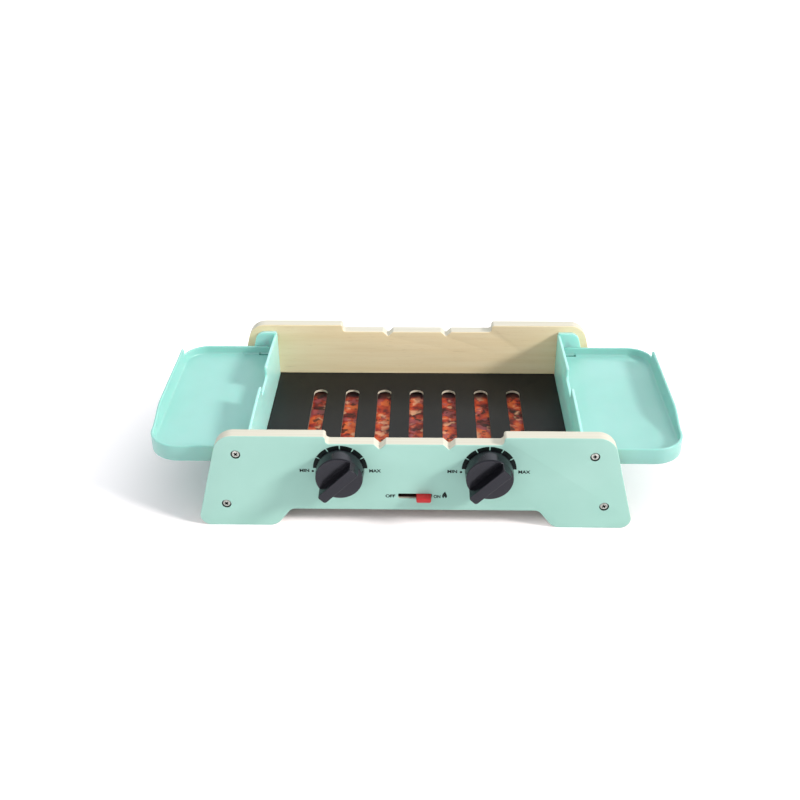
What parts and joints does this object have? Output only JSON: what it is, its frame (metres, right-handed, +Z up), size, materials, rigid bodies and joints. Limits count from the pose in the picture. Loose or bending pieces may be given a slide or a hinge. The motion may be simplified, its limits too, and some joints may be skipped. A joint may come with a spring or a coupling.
{
  "type": "toy barbecue grill",
  "caption": "Tabletop toy grill: slotted plate between two wooden panels, sliding ember card with a switch, turning knobs and fold-up side trays.",
  "frame": {"origin": "middle of the ground under the whole object, at the height of the bottom of its feet", "axes": "+X to the right of someone who faces the front panel, +Y from front to back, +Z up"},
  "size_m": [0.481, 0.2524, 0.0953],
  "materials": {
    "mint_paint": "mint green paint on wooden board, bare on the inner face",
    "mint_plastic": "moulded mint green plastic, satin",
    "charcoal_paint": "matt charcoal paint on thin board",
    "ember_print": "printed ember pattern on thin board",
    "red_plastic": "moulded red plastic",
    "black_plastic": "moulded black plastic, satin",
    "zinc_steel": "zinc plated steel"
  },
  "bodies": {
    "base": {"front_panel": "mint_paint", "rear_panel": "mint_paint", "left_bracket": "mint_plastic", "right_bracket": "mint_plastic", "grill_plate": "charcoal_paint", "front_screw_1": "zinc_steel", "front_screw_2": "zinc_steel", "front_screw_3": "zinc_steel", "front_screw_4": "zinc_steel", "rear_screw_1": "zinc_steel", "rear_screw_2": "zinc_steel", "rear_screw_3": "zinc_steel", "rear_screw_4": "zinc_steel"},
    "switch": {"ember_card": "ember_print", "switch_slider": "red_plastic", "switch_screw_left": "zinc_steel", "switch_screw_right": "zinc_steel"},
    "left_knob_set": {"left_knob": "black_plastic", "left_knob_washer": "zinc_steel", "left_knob_screw": "zinc_steel"},
    "right_knob_set": {"right_knob": "black_plastic", "right_knob_washer": "zinc_steel", "right_knob_screw": "zinc_steel"},
    "left_tray_body": {"left_tray": "mint_plastic"},
    "right_tray_body": {"right_tray": "mint_plastic"}
  },
  "joints": [
    {"name": "switch_slide", "type": "slide", "parent": "base", "child": "switch", "axis": [1, 0, 0], "range_m": [-0.0155, 0]},
    {"name": "left_knob_turn", "type": "hinge", "parent": "base", "child": "left_knob_set", "pos_m": [-0.065, -0.09925, 0.0626], "axis": [0, -1, 0], "continuous": true},
    {"name": "right_knob_turn", "type": "hinge", "parent": "base", "child": "right_knob_set", "pos_m": [0.065, -0.09925, 0.0626], "axis": [0, -1, 0], "continuous": true},
    {"name": "left_tray_fold", "type": "hinge", "parent": "base", "child": "left_tray_body", "pos_m": [-0.1585, 0.0135, 0.0655], "axis": [0, 1, 0], "range_deg": [0, 97]},
    {"name": "right_tray_fold", "type": "hinge", "parent": "base", "child": "right_tray_body", "pos_m": [0.1585, 0.0135, 0.0655], "axis": [0, -1, 0], "range_deg": [0, 97]}
  ]
}
